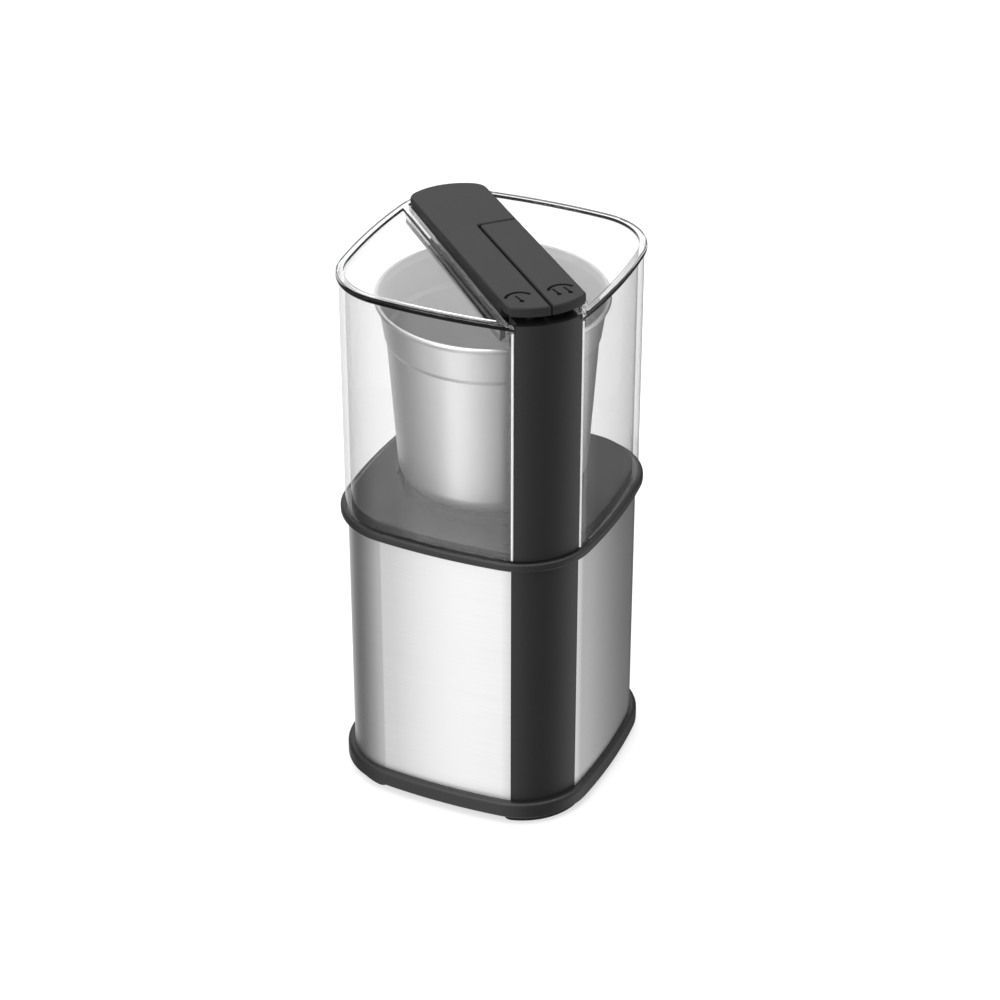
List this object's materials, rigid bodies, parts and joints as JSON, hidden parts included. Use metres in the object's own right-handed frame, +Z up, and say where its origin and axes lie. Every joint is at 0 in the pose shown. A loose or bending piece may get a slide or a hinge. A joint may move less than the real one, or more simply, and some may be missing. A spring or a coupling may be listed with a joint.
{
  "type": "electric coffee grinder",
  "caption": "Blade coffee grinder with a rounded-square brushed steel body, a clear lid crossed by a press lever and key, and a lift-out steel cup.",
  "frame": {"origin": "centre of the footprint, on the table under the feet", "axes": "+Z up along the motor shaft, -Y to the front corner with the black strip, +X to the right"},
  "size_m": [0.1178, 0.1178, 0.2196],
  "materials": {
    "satin_black_plastic": "satin moulded",
    "satin_grey_plastic": "satin moulded",
    "clear_plastic": "clear gloss",
    "brushed_steel": "brushed",
    "polished_steel": "polished",
    "zinc_steel": "zinc plated",
    "electrical_steel": "laminated",
    "copper": "enamelled copper",
    "brass": "turned",
    "carbon": "pressed carbon",
    "black_rubber": "matte",
    "inner_plastic": "moulded"
  },
  "bodies": {
    "base": {"base_tray": "satin_black_plastic", "rubber_feet": "black_rubber", "base_screws": "zinc_steel", "steel_sleeve": "brushed_steel", "inner_housing": "inner_plastic", "front_strip": "satin_black_plastic", "cord_gland": "black_rubber", "top_deck": "satin_black_plastic", "stator_core": "electrical_steel", "field_coils": "copper", "motor_top_bracket": "zinc_steel", "motor_bottom_bracket": "zinc_steel", "upper_bearing": "zinc_steel", "lower_bearing": "zinc_steel", "brush_holders": "brass", "carbon_brushes": "carbon", "motor_bolts": "zinc_steel", "motor_dampers": "black_rubber", "motor_screws": "zinc_steel", "switch_holder": "inner_plastic", "grind_switch": "inner_plastic", "pulse_switch": "inner_plastic", "grind_switch_leaf": "zinc_steel", "pulse_switch_leaf": "zinc_steel", "switch_screws": "zinc_steel", "suppression_capacitor": "inner_plastic"},
    "rotor": {"motor_shaft": "polished_steel", "armature_core": "electrical_steel", "armature_windings": "copper", "commutator": "copper", "cooling_fan": "inner_plastic", "drive_coupling": "inner_plastic"},
    "cup": {"grinding_cup": "polished_steel", "cup_base": "satin_black_plastic", "blade_bush": "brass", "bush_nut": "polished_steel", "shaft_seal": "black_rubber"},
    "blade": {"blade": "polished_steel", "blade_shaft": "polished_steel", "blade_nut": "polished_steel", "driven_coupling": "inner_plastic"},
    "lid": {"lid_shell": "clear_plastic", "front_pillar": "satin_black_plastic", "pillar_cover": "satin_black_plastic", "pillar_screws": "zinc_steel", "lever_chassis": "satin_black_plastic", "chassis_screws": "zinc_steel", "lever_pin": "zinc_steel", "key_pin": "zinc_steel", "grind_rod_spring": "zinc_steel", "pulse_rod_spring": "zinc_steel"},
    "grind_lever": {"grind_lever": "satin_grey_plastic"},
    "pulse_key": {"pulse_key": "satin_grey_plastic"},
    "grind_rod": {"grind_rod": "satin_black_plastic"},
    "pulse_rod": {"pulse_rod": "satin_black_plastic"},
    "grind_plunger": {"grind_plunger": "satin_black_plastic"},
    "pulse_plunger": {"pulse_plunger": "satin_black_plastic"}
  },
  "joints": [
    {"name": "motor_spin", "type": "hinge", "parent": "base", "child": "rotor", "pos_m": [0, 0, 0.07], "axis": [0, 0, 1], "continuous": true},
    {"name": "cup_lift", "type": "slide", "parent": "base", "child": "cup", "axis": [0, 0, 1], "range_m": [0, 0.12]},
    {"name": "blade_spin", "type": "hinge", "parent": "cup", "child": "blade", "pos_m": [0, 0, 0.13], "axis": [0, 0, 1], "continuous": true},
    {"name": "lid_lift", "type": "slide", "parent": "cup", "child": "lid", "axis": [0, 0, 1], "range_m": [0, 0.11]},
    {"name": "lever_press", "type": "hinge", "parent": "lid", "child": "grind_lever", "pos_m": [0, 0.045, 0.2106], "axis": [1, 0, 0], "range_deg": [0, 1.7], "stiffness_Nm_per_rad": 3, "springref_deg": -4.58},
    {"name": "key_press", "type": "hinge", "parent": "lid", "child": "pulse_key", "pos_m": [0.0071, 0.007, 0.2106], "axis": [1, 0, 0], "range_deg": [0, 2.8], "stiffness_Nm_per_rad": 3, "springref_deg": -4.58},
    {"name": "grind_rod_slide", "type": "slide", "parent": "lid", "child": "grind_rod", "axis": [0, 0, -1], "range_m": [0, 0.0028], "deforming": ["grind_rod_spring"]},
    {"name": "pulse_rod_slide", "type": "slide", "parent": "lid", "child": "pulse_rod", "axis": [0, 0, -1], "range_m": [0, 0.0028], "deforming": ["pulse_rod_spring"]},
    {"name": "grind_plunger_slide", "type": "slide", "parent": "base", "child": "grind_plunger", "axis": [0, 0, -1], "range_m": [0, 0.0028], "deforming": ["grind_switch_leaf"]},
    {"name": "pulse_plunger_slide", "type": "slide", "parent": "base", "child": "pulse_plunger", "axis": [0, 0, -1], "range_m": [0, 0.0028], "deforming": ["pulse_switch_leaf"]}
  ],
  "couplings": [
    {"joint": "blade_spin", "follows": "motor_spin", "ratio": 1},
    {"joint": "grind_rod_slide", "follows": "lever_press", "m_per_rad": 0.094},
    {"joint": "grind_plunger_slide", "follows": "lever_press", "m_per_rad": 0.094},
    {"joint": "pulse_rod_slide", "follows": "key_press", "m_per_rad": 0.056},
    {"joint": "pulse_plunger_slide", "follows": "key_press", "m_per_rad": 0.056}
  ]
}
